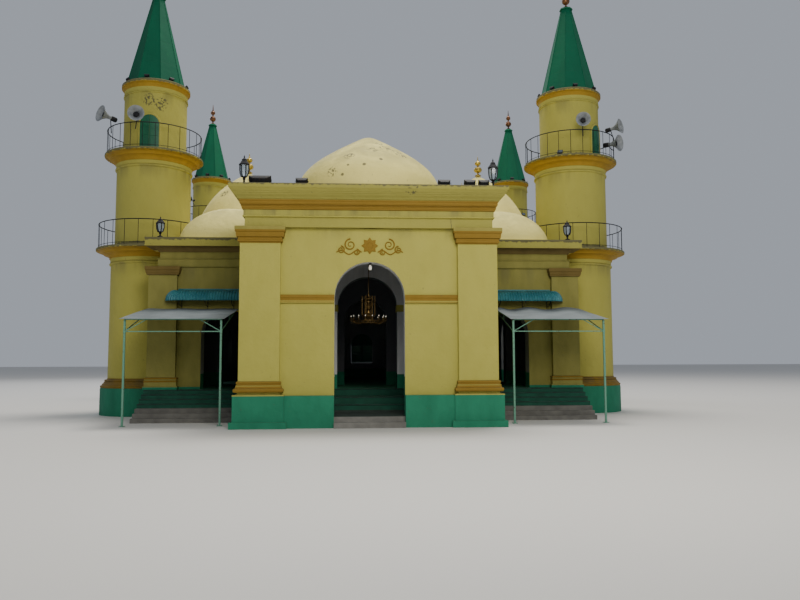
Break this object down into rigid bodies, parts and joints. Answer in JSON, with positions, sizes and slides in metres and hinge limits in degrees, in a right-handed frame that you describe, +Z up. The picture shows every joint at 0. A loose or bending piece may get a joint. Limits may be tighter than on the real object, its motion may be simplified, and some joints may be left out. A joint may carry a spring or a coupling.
{
  "type": "mosque building",
  "caption": "Free-standing plastered masonry mosque: arched porch under a dome, domed prayer hall, and round minarets with railed balconies and green spires.",
  "frame": {"origin": "on the ground, under the middle of the building's bounding box", "axes": "+Z up, -Y the way the porch faces, +X to the right as seen from the front"},
  "size_m": [21.82, 23.04, 18.63],
  "materials": {
    "yellow_plaster": "painted lime plaster, matte, weathered",
    "pale_dome_plaster": "pale yellow painted plaster, weather stained",
    "green_dado": "green painted plaster, satin",
    "green_spire": "green painted plaster, satin",
    "grey_stone": "worn grey stone, matte",
    "gilt_metal": "gold painted metal, weathered",
    "dark_iron": "dark painted iron",
    "teal_sheet_metal": "corrugated sheet metal, satin paint",
    "pale_green_steel": "painted steel section",
    "grey_tarpaulin": "coated woven sheet, matte",
    "brass": "polished brass"
  },
  "bodies": {
    "root": {"front_left_minaret_shaft": "yellow_plaster", "front_left_minaret_spire": "green_spire", "front_left_minaret_finial": "gilt_metal", "front_left_minaret_lower_railing": "dark_iron", "front_left_minaret_upper_railing": "dark_iron", "front_right_minaret_shaft": "yellow_plaster", "front_right_minaret_spire": "green_spire", "front_right_minaret_finial": "gilt_metal", "front_right_minaret_lower_railing": "dark_iron", "front_right_minaret_upper_railing": "dark_iron", "rear_left_minaret_shaft": "yellow_plaster", "rear_left_minaret_spire": "green_spire", "rear_left_minaret_finial": "gilt_metal", "rear_left_minaret_lower_railing": "dark_iron", "rear_left_minaret_upper_railing": "dark_iron", "rear_right_minaret_shaft": "yellow_plaster", "rear_right_minaret_spire": "green_spire", "rear_right_minaret_finial": "gilt_metal", "rear_right_minaret_lower_railing": "dark_iron", "rear_right_minaret_upper_railing": "dark_iron", "hall_plinth": "green_dado", "hall_front_wall": "yellow_plaster", "hall_rear_wall": "yellow_plaster", "hall_left_wall": "yellow_plaster", "hall_right_wall": "yellow_plaster", "inner_arcade": "yellow_plaster", "hall_roof": "yellow_plaster", "front_vaults": "pale_dome_plaster", "rear_vaults": "pale_dome_plaster", "front_left_dome": "pale_dome_plaster", "front_left_dome_finial": "gilt_metal", "front_middle_dome": "pale_dome_plaster", "front_middle_dome_finial": "gilt_metal", "front_right_dome": "pale_dome_plaster", "front_right_dome_finial": "gilt_metal", "rear_left_dome": "pale_dome_plaster", "rear_left_dome_finial": "gilt_metal", "rear_middle_dome": "pale_dome_plaster", "rear_middle_dome_finial": "gilt_metal", "rear_right_dome": "pale_dome_plaster", "rear_right_dome_finial": "gilt_metal", "porch_front_wall": "yellow_plaster", "porch_left_wall": "yellow_plaster", "porch_right_wall": "yellow_plaster", "porch_roof": "yellow_plaster", "porch_dome": "pale_dome_plaster", "porch_stone_steps": "grey_stone", "porch_green_steps": "green_dado", "front_steps_left": "green_dado", "front_steps_right": "green_dado", "awning_left": "teal_sheet_metal", "canopy_frame_left": "pale_green_steel", "canopy_sheet_left": "grey_tarpaulin", "awning_right": "teal_sheet_metal", "canopy_frame_right": "pale_green_steel", "canopy_sheet_right": "grey_tarpaulin", "chandelier": "brass"}
  },
  "joints": []
}
